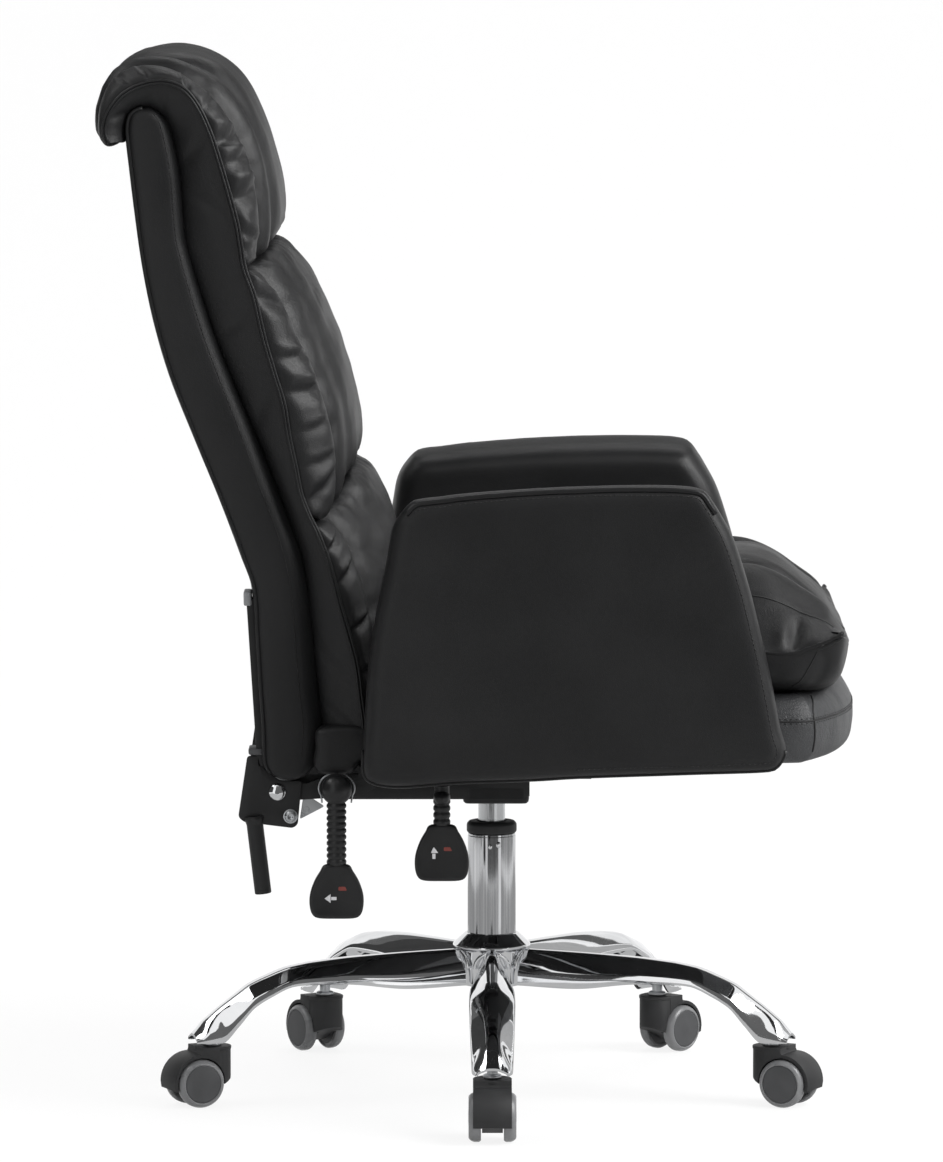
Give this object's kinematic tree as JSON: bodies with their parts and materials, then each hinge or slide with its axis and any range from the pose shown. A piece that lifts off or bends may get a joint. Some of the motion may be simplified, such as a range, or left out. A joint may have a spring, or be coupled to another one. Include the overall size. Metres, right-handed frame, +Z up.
{
  "type": "reclining office chair",
  "caption": "High-backed swivel chair with thick pillow cushions, padded arms, reclining back, gas lift and a chromed star base on castors.",
  "frame": {"origin": "on the floor under the middle of the bounding box", "axes": "+Z up; -Y is the way the chair faces; -X is the chair's right side, which carries the two levers"},
  "size_m": [0.668, 0.773, 1.092],
  "materials": {
    "chrome": "polished",
    "zinc": "satin",
    "black_steel": "satin",
    "black_plastic": "matte",
    "wheel": "satin",
    "plywood": "matte",
    "leather": "satin"
  },
  "bodies": {
    "base": {"base_hub": "chrome", "column_tube": "chrome", "column_guide_bush": "black_plastic", "base_leg_1": "chrome", "castor_stem_1": "zinc", "base_leg_2": "chrome", "castor_stem_2": "zinc", "base_leg_3": "chrome", "castor_stem_3": "zinc", "base_leg_4": "chrome", "castor_stem_4": "zinc", "base_leg_5": "chrome", "castor_stem_5": "zinc"},
    "castor_1": {"castor_housing_1": "black_plastic", "castor_axle_1": "zinc"},
    "wheel_1a": {"castor_wheel_1a": "wheel"},
    "wheel_1b": {"castor_wheel_1b": "wheel"},
    "castor_2": {"castor_housing_2": "black_plastic", "castor_axle_2": "zinc"},
    "wheel_2a": {"castor_wheel_2a": "wheel"},
    "wheel_2b": {"castor_wheel_2b": "wheel"},
    "castor_3": {"castor_housing_3": "black_plastic", "castor_axle_3": "zinc"},
    "wheel_3a": {"castor_wheel_3a": "wheel"},
    "wheel_3b": {"castor_wheel_3b": "wheel"},
    "castor_4": {"castor_housing_4": "black_plastic", "castor_axle_4": "zinc"},
    "wheel_4a": {"castor_wheel_4a": "wheel"},
    "wheel_4b": {"castor_wheel_4b": "wheel"},
    "castor_5": {"castor_housing_5": "black_plastic", "castor_axle_5": "zinc"},
    "wheel_5a": {"castor_wheel_5a": "wheel"},
    "wheel_5b": {"castor_wheel_5b": "wheel"},
    "column_rod": {"thrust_bearing": "zinc", "piston_rod": "zinc"},
    "seat": {"gas_cylinder": "black_steel", "chassis": "black_steel", "seat_board": "plywood", "seat_pad": "leather", "seat_cushion": "leather", "arm_right": "leather", "arm_left": "leather", "hinge_ear_right": "zinc", "hinge_ear_left": "zinc", "pivot_bolt_right": "chrome", "pivot_bolt_left": "chrome", "lock_strut_tube": "black_steel"},
    "back": {"back_bracket_right": "black_steel", "back_bracket_left": "black_steel", "back_cross_tube": "black_steel", "back_shell": "leather", "lower_pillow": "leather", "middle_pillow": "leather", "head_pillow": "leather"},
    "lock_strut_rod": {"lock_strut_rod": "zinc"},
    "lift_lever": {"lift_lever_rod": "zinc", "lift_lever_grip": "black_plastic"},
    "lock_lever": {"lock_lever_rod": "zinc", "lock_lever_grip": "black_plastic"}
  },
  "joints": [
    {"name": "castor_swivel_1", "type": "hinge", "parent": "base", "child": "castor_1", "pos_m": [-0.284, -0.0145, 0.0614], "axis": [0, 0, 1], "continuous": true},
    {"name": "castor_wheel_spin_1a", "type": "hinge", "parent": "castor_1", "child": "wheel_1a", "pos_m": [-0.304, -0.0145, 0.025], "axis": [0, -1, 0], "continuous": true},
    {"name": "castor_wheel_spin_1b", "type": "hinge", "parent": "castor_1", "child": "wheel_1b", "pos_m": [-0.304, -0.0145, 0.025], "axis": [0, -1, 0], "continuous": true},
    {"name": "castor_swivel_2", "type": "hinge", "parent": "base", "child": "castor_2", "pos_m": [-0.07463, 0.27367, 0.0614], "axis": [0, 0, 1], "continuous": true},
    {"name": "castor_wheel_spin_2a", "type": "hinge", "parent": "castor_2", "child": "wheel_2a", "pos_m": [-0.08309, 0.2918, 0.025], "axis": [-0.9063, -0.4226, 0], "continuous": true},
    {"name": "castor_wheel_spin_2b", "type": "hinge", "parent": "castor_2", "child": "wheel_2b", "pos_m": [-0.08309, 0.2918, 0.025], "axis": [-0.9063, -0.4226, 0], "continuous": true},
    {"name": "castor_swivel_3", "type": "hinge", "parent": "base", "child": "castor_3", "pos_m": [0.26413, 0.1636, 0.0614], "axis": [0, 0, 1], "continuous": true},
    {"name": "castor_wheel_spin_3a", "type": "hinge", "parent": "castor_3", "child": "wheel_3a", "pos_m": [0.28127, 0.1739, 0.025], "axis": [-0.515, 0.8572, 0], "continuous": true},
    {"name": "castor_wheel_spin_3b", "type": "hinge", "parent": "castor_3", "child": "wheel_3b", "pos_m": [0.28127, 0.1739, 0.025], "axis": [-0.515, 0.8572, 0], "continuous": true},
    {"name": "castor_swivel_4", "type": "hinge", "parent": "base", "child": "castor_4", "pos_m": [0.26413, -0.1926, 0.0614], "axis": [0, 0, 1], "continuous": true},
    {"name": "castor_wheel_spin_4a", "type": "hinge", "parent": "castor_4", "child": "wheel_4a", "pos_m": [0.27876, -0.20624, 0.025], "axis": [0.682, 0.7314, 0], "continuous": true},
    {"name": "castor_wheel_spin_4b", "type": "hinge", "parent": "castor_4", "child": "wheel_4b", "pos_m": [0.27876, -0.20624, 0.025], "axis": [0.682, 0.7314, 0], "continuous": true},
    {"name": "castor_swivel_5", "type": "hinge", "parent": "base", "child": "castor_5", "pos_m": [-0.07463, -0.30267, 0.0614], "axis": [0, 0, 1], "continuous": true},
    {"name": "castor_wheel_spin_5a", "type": "hinge", "parent": "castor_5", "child": "wheel_5a", "pos_m": [-0.08356, -0.32057, 0.025], "axis": [0.8949, -0.4462, 0], "continuous": true},
    {"name": "castor_wheel_spin_5b", "type": "hinge", "parent": "castor_5", "child": "wheel_5b", "pos_m": [-0.08356, -0.32057, 0.025], "axis": [0.8949, -0.4462, 0], "continuous": true},
    {"name": "seat_swivel", "type": "hinge", "parent": "base", "child": "column_rod", "pos_m": [0.019, -0.0145, 0.125], "axis": [0, 0, 1], "continuous": true},
    {"name": "seat_height", "type": "slide", "parent": "column_rod", "child": "seat", "axis": [0, 0, 1], "range_m": [0, 0.08]},
    {"name": "back_recline", "type": "hinge", "parent": "seat", "child": "back", "pos_m": [0, 0.2035, 0.338], "axis": [-1, 0, 0], "range_deg": [0, 35]},
    {"name": "lock_strut_slide", "type": "slide", "parent": "seat", "child": "lock_strut_rod", "axis": [0, -0.9877, 0.1564], "range_m": [0, 0.0145]},
    {"name": "lift_lever_swing", "type": "hinge", "parent": "seat", "child": "lift_lever", "pos_m": [-0.216, 0.0365, 0.337], "axis": [-1, 0, 0], "range_deg": [0, 15], "stiffness_Nm_per_rad": 0.6},
    {"name": "lock_lever_swing", "type": "hinge", "parent": "seat", "child": "lock_lever", "pos_m": [-0.216, 0.143, 0.3446], "axis": [-1, 0, 0], "range_deg": [0, 20]}
  ],
  "couplings": [
    {"joint": "lock_strut_slide", "follows": "back_recline", "m_per_rad": 0.023629}
  ]
}
